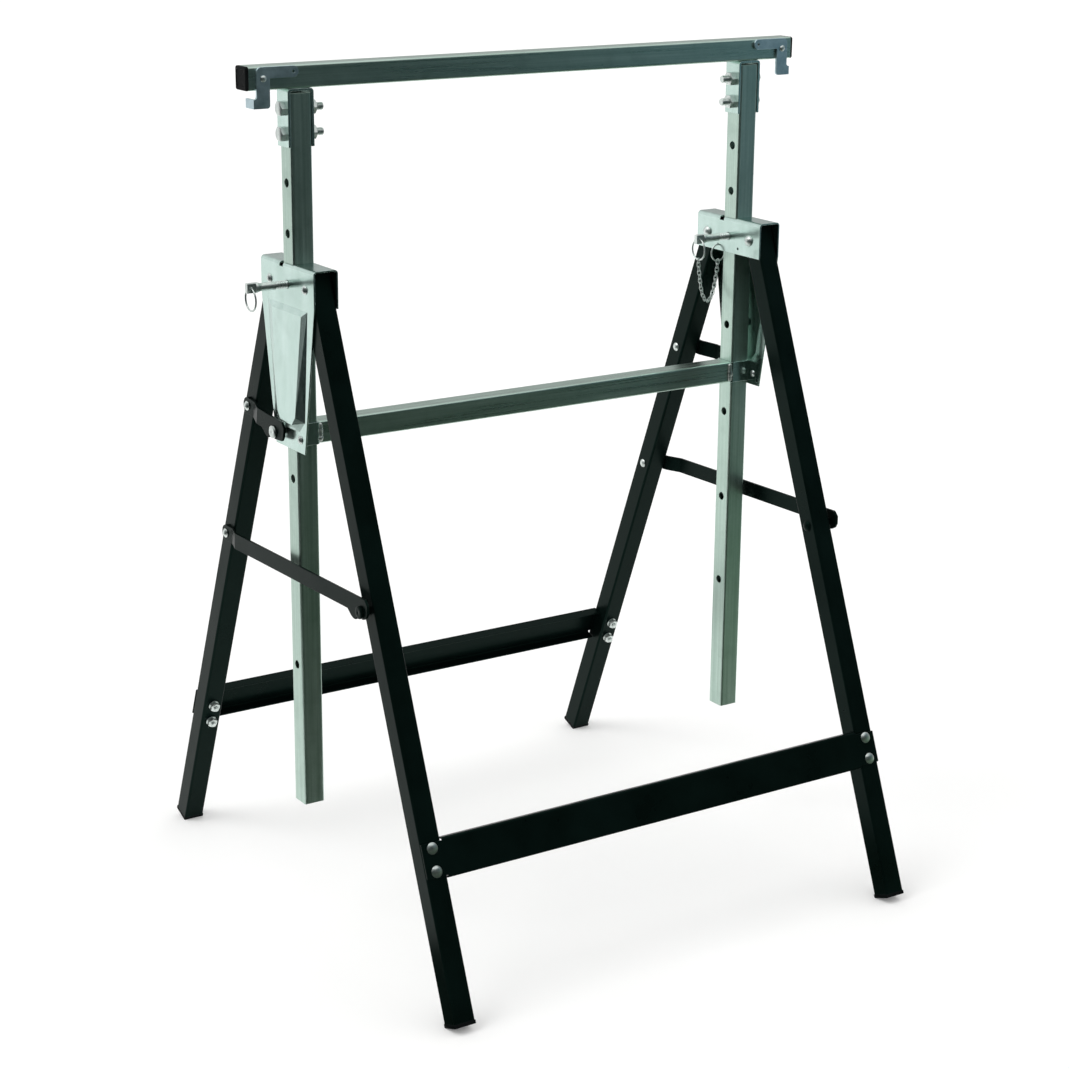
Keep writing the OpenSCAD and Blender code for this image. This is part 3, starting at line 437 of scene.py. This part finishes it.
parts = []
for _, side in SIDES:
    spot = at_side(side, -COLLAR_Y, PIVOT_Z - COLLAR_DROP)
    for profile in (dome_profile(CHEEK_OUT, *COLLAR_HEAD), flip(dome_profile(-COLLAR_FOOT_IN, *COLLAR_TAIL)),
                    [(COLLAR_FOOT_IN, COLLAR_R), (CHEEK_OUT, COLLAR_R)]):
        parts.append(placed(turned(profile), spot))
piece("collar_rivet_set", parts, bright, "head_frame", "bright_zinc", "collar_rivets")


def peg(x0):
    """Shouldered peg with a turned head, closed over at the far end."""
    tail = flip(dome_profile(-x0, *PEG_TAIL))
    shank = [(x0, PEG_R), (PEG_HEAD_IN, PEG_R)]
    head = [(PEG_HEAD_IN + x, r) for x, r in PEG_HEAD]
    return [turned(p) for p in (tail, shank, head)]


parts = [placed(p, at_side(side, COLLAR_Y, PIVOT_Z - COLLAR_DROP))
         for _, side in SIDES for p in peg(COLLAR_FOOT_IN)]
piece("cheek_peg_set", parts, bright, "head_frame", "bright_zinc", "cheek_pegs")

parts = [placed(p, in_leg(side, -1, LONG_REACH)) for _, side in SIDES for p in peg(-TUBE_HALF)]
piece("leg_peg_set", parts, black_paint, "front_legs", "black_paint", "leg_pegs")

parts = []
for _, side in SIDES:
    for reach in (LONG_REACH, SHORT_REACH):
        spot = in_leg(side, 1, reach)
        for profile in (dome_profile(RIVET_HEAD_IN, *LINK_HEAD), flip(dome_profile(TUBE_HALF, *LINK_TAIL)),
                        [(-TUBE_HALF, LINK_R), (RIVET_HEAD_IN, LINK_R)]):
            parts.append(placed(turned(profile), spot))
piece("link_rivet_set", parts, bright, "rear_legs", "bright_zinc", "link_rivets")

# Bolts, washers and nuts

parts, nuts = [], []
for _, side in SIDES:
    for drop in SADDLE_BOLT_DROPS:
        spot = at_side(side, 0.0, BAR_BOTTOM - drop)
        for part in (hexagon(SADDLE_OUT, SADDLE_OUT + SADDLE_HEAD_H, M8_FLATS, HEX_POINT_UP),
                     turned([(-SADDLE_OUT, M8 / 2), (SADDLE_OUT, M8 / 2)]),
                     thread(-SADDLE_OUT - THREAD_FROM, -SADDLE_OUT - SADDLE_THREAD_TO, M8, M8_PITCH)):
            parts.append(placed(part, spot))
        nuts.append(placed(hexagon(-SADDLE_OUT, -SADDLE_OUT - SADDLE_NUT_H, M8_FLATS, HEX_POINT_UP), spot))
piece("saddle_bolt_set", parts, bright, "mast", "bright_zinc", "saddle_bolts")
piece("saddle_nut_set", nuts, bright, "mast", "bright_zinc", "saddle_nuts")

for end_name, end in (("front", -1), ("rear", 1)):
    parts, nuts = [], []
    for _, side in SIDES:
        for way in (-1, 1):
            spot = in_leg(side, end, RAIL_REACH + way * RAIL_BOLT_PITCH / 2, to_front=True)
            for part in (turned(dome_profile(RAIL_WEB_OUT, *RAIL_HEAD)),
                         turned([(-TUBE_HALF, RAIL_BOLT_R), (RAIL_WEB_OUT, RAIL_BOLT_R)]),
                         thread(-TUBE_HALF - THREAD_FROM, -TUBE_HALF - RAIL_THREAD_TO, M6, M6_PITCH)):
                parts.append(placed(part, spot))
            washer = [(0.0, WASHER_BORE_R), (0.0, WASHER_R - 0.1), (0.15, WASHER_R),
                      (WASHER_T - 0.2, WASHER_R), (WASHER_T, WASHER_R - 0.15), (WASHER_T, WASHER_BORE_R)]
            nuts.append(placed(turned([(-TUBE_HALF - x, r) for x, r in washer]), spot))
            nuts.append(placed(hexagon(-TUBE_HALF - WASHER_T, -TUBE_HALF - RAIL_NUT_TO, M6_FLATS), spot))
    legs = f"{end_name}_legs"
    piece(f"{end_name}_rail_bolt_set", parts, bright, legs, "bright_zinc", f"{end_name}_rail_bolts")
    piece(f"{end_name}_rail_nut_set", nuts, bright, legs, "bright_zinc", f"{end_name}_rail_nuts")

# Rivets of the end stops

parts = []
for _, side in SIDES:
    def at_stop(p, side=side):
        return Vector((side * (BAR_HALF_LEN - STOP_INSET) + p.y, -p.x, BAR_MID + p.z))

    for profile in (dome_profile(STOP_HEAD_Y, *STOP_HEAD), [(STOP_TAIL_Y, STOP_R), (STOP_HEAD_Y, STOP_R)],
                    flip(dome_profile(-STOP_TAIL_Y, *STOP_TAIL))):
        parts.append(placed(turned(profile), at_stop))
piece("stop_rivet_set", parts, bright, "mast", "bright_zinc", "stop_rivets")


# End caps

def square_loop(half, r, x, n=6):
    """Square loop with round corners in the YZ plane at x."""
    loop = []
    for corner in range(4):
        base = math.pi / 2 * corner
        cy = math.copysign(half - r, math.cos(base + math.pi / 4))
        cz = math.copysign(half - r, math.sin(base + math.pi / 4))
        for k in range(n + 1):
            a = base + math.pi / 2 * k / n
            loop.append((x, cy + r * math.cos(a), cz + r * math.sin(a)))
    return loop


# Cap from its plug outward, as half width, corner radius and place along the bar: the plug and the flange's
# straight side, then the rounded edge, then the shallow recess in its face
CAP_SIDE = ((9.8, 1.2, -7.0), (9.85, 1.2, -6.0), (9.85, 1.2, 0.0), (11.45, 2.3, 0.02), (11.5, 2.3, 0.3),
            (11.5, 2.3, 1.6))
CAP_RECESS = ((8.6, 1.6, 2.98), (8.2, 1.6, 2.6), (0.5, 0.2, 2.6))
CAP_EDGE_R, CAP_CORNER_LOSS, CAP_EDGE_STEPS = 1.4, 0.6, 5

for side_name, side in SIDES:
    outline = list(CAP_SIDE)
    half, corner, start = CAP_SIDE[-1]
    for k in range(1, CAP_EDGE_STEPS + 1):
        a = math.pi / 2 * k / CAP_EDGE_STEPS
        inward = 1 - math.cos(a)
        outline.append((half - CAP_EDGE_R * inward, corner - CAP_CORNER_LOSS * inward,
                        start + CAP_EDGE_R * math.sin(a)))
    loops = [square_loop(*step) for step in outline + list(CAP_RECESS)]
    cap = placed(rings(loops),
                 lambda p, s=side: Vector((s * (BAR_HALF_LEN - CAP_FLANGE + p.x), p.y, BAR_MID + p.z)))
    piece(f"{side_name}_cap", [cap], black_plastic, "mast", "black_plastic", f"{side_name}_end_cap")


# Safety chain: oval links on the curve that a chain of this length hangs in

seat = (RING_WIRE + SIDE_CLEAR) / 2
chain_from = Vector((UPRIGHT_X + RING_HOLE_X, 0.0, PIVOT_Z - RING_DROP - RING_R + seat))
anchor_x = UPRIGHT_X - (CHEEK_IN + CHEEK_OUT) / 2
chain_to = Vector((anchor_x, ANCHOR_Y, PIVOT_Z - ANCHOR_DROP - 2 * ANCHOR_R - ANCHOR_SLACK + seat))
across = Vector((chain_to.x - chain_from.x, chain_to.y - chain_from.y, 0.0))
span, rise, length = across.length, chain_to.z - chain_from.z, CHAIN_LINKS * CHAIN_PITCH
across.normalize()
low, high = span / 40, span * 4
for _ in range(60):
    curve = (low + high) / 2
    if 2 * curve * math.sinh(span / (2 * curve)) > length:
        low = curve
    else:
        high = curve


def chain_point(s):
    x = curve * math.asinh((s - length / 2) / curve)
    sag = curve * (math.cosh(x / curve) - math.cosh(span / (2 * curve)))
    return chain_from + across * (x + span / 2) + Vector((0, 0, sag + rise * (x / span + 0.5)))


parts = []
bend = (CHAIN_SLOT + CHAIN_WIRE) / 2
straight = CHAIN_PITCH + CHAIN_WIRE + SIDE_CLEAR - 2 * bend
for k in range(CHAIN_LINKS):
    a, b = chain_point(k * CHAIN_PITCH), chain_point((k + 1) * CHAIN_PITCH)
    middle, along = (a + b) / 2, (b - a).normalized()
    flat = across.cross(Vector((0, 0, 1))).normalized()
    upright = flat.cross(along).normalized()
    wide = upright if (k + 1) % 2 else flat
    path = []
    for end in (1, -1):
        for i in range(13):
            t = end * math.pi / 2 - math.pi * i / 12
            path.append(middle + along * (end * straight / 2 + end * bend * abs(math.cos(t)))
                        + wide * bend * math.sin(t))
    parts.append(tube(path, CHAIN_WIRE / 2, 12, closed=True))
chain = piece("hanging_chain", parts, bright, None, "bright_zinc", "safety_chain", sharp=60.0)
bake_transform(chain)


# Weld beads where the beam meets the guide collars

WELD_STEPS, WELD_SIDES, WELD_HALF_LEN, WELD_R, WELD_UNEVEN, WELD_RIPPLE = 40, 16, 10.2, 3.0, 1.3, 0.22
WELD_X, WELD_Y = UPRIGHT_X - CHEEK_OUT - 0.6, TUBE_HALF + 0.5
parts = []
for _, side in SIDES:
    for front in (-1, 1):
        corner = Vector((side * WELD_X, front * WELD_Y, PIVOT_Z - BEAM_DROP))
        loops = []
        for i in range(WELD_STEPS + 1):
            t = i / WELD_STEPS * 2 - 1
            wobble = noise.noise(Vector((side * 3.1, front * 5.7, t * 4.0)))
            ripple = WELD_RIPPLE * math.sin(t * 26 + 3 * wobble)
            size = (WELD_R + WELD_UNEVEN * wobble + ripple) * math.sqrt(max(0.02, 1 - (abs(t) ** 6)))
            centre = corner + Vector((0.6 * wobble * side, 0.0, WELD_HALF_LEN * t + 0.3 * ripple))
            loop = []
            for k in range(WELD_SIDES):
                a = 2 * math.pi * k / WELD_SIDES
                out = Vector((side * -size * math.cos(a), front * 0.8 * size * math.sin(a), 0.0))
                loop.append(tuple(centre + out))
            loops.append(loop)
        parts.append(rings(loops))
piece("weld_beads", parts, weld_metal, "head_frame", "zinc_plate", sharp=70.0)


# Camera at the photograph's place

CAMERA_AT = (-1.3632, -2.0968, 1.1398)
FOCAL_PIXELS, PHOTO_PIXELS, SENSOR = 2400.7, 1069.0, 36.0
yaw, pitch, roll = math.radians(33.17), math.radians(-16.888), math.radians(0.47)
forward = Vector((math.sin(yaw) * math.cos(pitch), math.cos(yaw) * math.cos(pitch), math.sin(pitch)))
level = Vector((math.cos(yaw), -math.sin(yaw), 0.0))
above = level.cross(forward)
right = math.cos(roll) * level + math.sin(roll) * above
up = math.cos(roll) * above - math.sin(roll) * level
lens = bpy.data.cameras.new("camera")
lens.sensor_width = SENSOR
lens.lens = FOCAL_PIXELS * SENSOR / PHOTO_PIXELS
lens.clip_end = 200.0
camera = bpy.data.objects.new("camera", lens)
camera.matrix_world = Matrix((
    (right.x, up.x, -forward.x, CAMERA_AT[0]),
    (right.y, up.y, -forward.y, CAMERA_AT[1]),
    (right.z, up.z, -forward.z, CAMERA_AT[2]),
    (0.0, 0.0, 0.0, 1.0),
))
bpy.context.scene.collection.objects.link(camera)
bpy.context.scene.camera = camera


# Studio in metres: pale floor, even sky, soft light from the left, and cards that only reflections see

FLOOR_HALF, FLOOR_GLOW = 30.0, 0.1
WALL_R, WALL_TOP, WALL_FROM, WALL_TO = 0.95, 1.4, 57, 255
GROUND_IN_R, GROUND_Z, GROUND_FROM, GROUND_TO = 0.2, 0.003, 110, 250
GREY_R, GREY_TOP, GREY_FADE_FROM, GREY_FROM, GREY_TO = 3.0, 3.68, 2.6, 160, 385
SKY_LOW, SKY_HIGH = 1.0, 0.9
SUN_ENERGY, SUN_ANGLE, SUN_WAY = 0.7, math.radians(35), Vector((0.62, -0.12, -0.78))
WHITE, BLACK = (1.0, 1.0, 1.0, 1.0), (0.0, 0.0, 0.0, 1.0)


def stage_mesh(name, points, faces):
    mesh = bpy.data.meshes.new(name)
    mesh.from_pydata(points, [], faces)
    obj = bpy.data.objects.new(name, mesh)
    bpy.context.scene.collection.objects.link(obj)
    return obj


corners = [(FLOOR_HALF * x, FLOOR_HALF * y, 0.0) for x, y in ((-1, -1), (1, -1), (1, 1), (-1, 1))]
floor = stage_mesh("floor", corners, [[0, 1, 2, 3]])
ground = Shader("floor_paper")
fibre = ground.noise((3, 3, 3), 3.0)
paper = ground.ramp(fibre, [(0.3, (0.9, 0.9, 0.89)), (0.7, (0.92, 0.92, 0.915))])
ground.link(paper, ground.bsdf.inputs["Base Color"])
ground.bsdf.inputs["Roughness"].default_value = 0.9
ground.bsdf.inputs["Specular IOR Level"].default_value = 0.0
path = ground.node("ShaderNodeLightPath")
seen = ground.node("ShaderNodeMath", operation="MAXIMUM")
ground.link(path.outputs["Is Camera Ray"], seen.inputs[0])
ground.link(path.outputs["Is Glossy Ray"], seen.inputs[1])
seen_too = ground.node("ShaderNodeMath", operation="MAXIMUM")
ground.link(seen.outputs["Value"], seen_too.inputs[0])
ground.link(path.outputs["Is Transmission Ray"], seen_too.inputs[1])
ground.bsdf.inputs["Emission Color"].default_value = WHITE
glow = ground.remap(seen_too.outputs["Value"], 0.0, 1.0, 0.0, FLOOR_GLOW)
ground.link(glow, ground.bsdf.inputs["Emission Strength"])
floor.data.materials.append(ground.mat)


def arc(radius, z, first, last, steps):
    """Points round the trestle, with angles counted from the rear toward the left."""
    angles = [math.radians(first + (last - first) * i / steps) for i in range(steps + 1)]
    return [(-radius * math.sin(a), radius * math.cos(a), z) for a in angles]


def card(name, near, far):
    """Strip between two arcs that only reflections see; returns its shader and its own coordinates."""
    n = len(near)
    obj = stage_mesh(name, near + far, [[i, i + 1, n + i + 1, n + i] for i in range(n - 1)])
    s = Shader(name)
    obj.data.materials.append(s.mat)
    s.bsdf.inputs["Base Color"].default_value = BLACK
    s.bsdf.inputs["Specular IOR Level"].default_value = 0.0
    obj.visible_camera = False
    obj.visible_diffuse = False
    obj.visible_transmission = False
    obj.visible_shadow = False
    place = s.node("ShaderNodeSeparateXYZ")
    s.link(s.coords, place.inputs["Vector"])
    return s, place


def dark_card(name, near, far):
    """Black flag round the front of the set."""
    s, place = card(name, near, far)
    along = s.remap(place.outputs["X"], -0.2, 0.9, 0.0, 1.0)
    tone = s.ramp(along, [(0.0, (0.011, 0.018, 0.018)), (0.36, (0.015, 0.026, 0.024)),
                          (0.64, (0.031, 0.052, 0.05)), (0.9, (0.08, 0.128, 0.137))])
    height = s.remap(place.outputs["Z"], 0.0, 0.8, 0.0, 1.0)
    cast = s.ramp(height, [(0.0, (1.3, 1.3, 0.85)), (0.35, (0.5, 0.47, 0.41)),
                           (0.7, (0.55, 0.55, 0.6)), (1.0, (0.85, 0.9, 1.0))])
    tone = s.blend(1.0, tone, cast, "MULTIPLY")
    s.link(tone, s.bsdf.inputs["Emission Color"])
    s.bsdf.inputs["Emission Strength"].default_value = 1.7


dark_card("dark_wall", arc(WALL_R, 0.0, WALL_FROM, WALL_TO, 40),
          arc(WALL_R, WALL_TOP, WALL_FROM, WALL_TO, 40))
dark_card("dark_ground", arc(GROUND_IN_R, GROUND_Z, GROUND_FROM, GROUND_TO, 24),
          arc(WALL_R, GROUND_Z, GROUND_FROM, GROUND_TO, 24))

# Grey card round the right, which keeps the tops of the bar and the beam from going white
grey, place = card("grey_card", arc(GREY_R, 0.0, GREY_FROM, GREY_TO, 60),
                   arc(GREY_R, GREY_TOP, GREY_FROM, GREY_TO, 60))
fade = grey.node("ShaderNodeMix")
fade.inputs["B"].default_value = SKY_HIGH
grey.link(grey.remap(place.outputs["Z"], GREY_FADE_FROM, GREY_TOP, 0.0, 1.0), fade.inputs["Factor"])
grey.link(grey.remap(place.outputs["X"], -1.5, 1.35, 0.98, 0.47), fade.inputs["A"])
grey.bsdf.inputs["Emission Color"].default_value = WHITE
grey.link(fade.outputs["Result"], grey.bsdf.inputs["Emission Strength"])

world = bpy.data.worlds.new("studio")
world.use_nodes = True
sky = world.node_tree
background = sky.nodes["Background"]
direction = sky.nodes.new("ShaderNodeTexCoord")
split = sky.nodes.new("ShaderNodeSeparateXYZ")
level_by_height = sky.nodes.new("ShaderNodeMapRange")
for socket, value in (("From Min", 0.38), ("From Max", 0.68), ("To Min", SKY_LOW), ("To Max", SKY_HIGH)):
    level_by_height.inputs[socket].default_value = value
sky.links.new(direction.outputs["Generated"], split.inputs["Vector"])
sky.links.new(split.outputs["Z"], level_by_height.inputs["Value"])
sky.links.new(level_by_height.outputs["Result"], background.inputs["Strength"])
background.inputs["Color"].default_value = WHITE
bpy.context.scene.world = world

key = bpy.data.lights.new("key", "SUN")
key.energy = SUN_ENERGY
key.angle = SUN_ANGLE
key_obj = bpy.data.objects.new("key", key)
key_obj.rotation_mode = "QUATERNION"
key_obj.rotation_quaternion = SUN_WAY.to_track_quat("-Z", "Y")
bpy.context.scene.collection.objects.link(key_obj)

bpy.context.scene.view_settings.view_transform = "Standard"
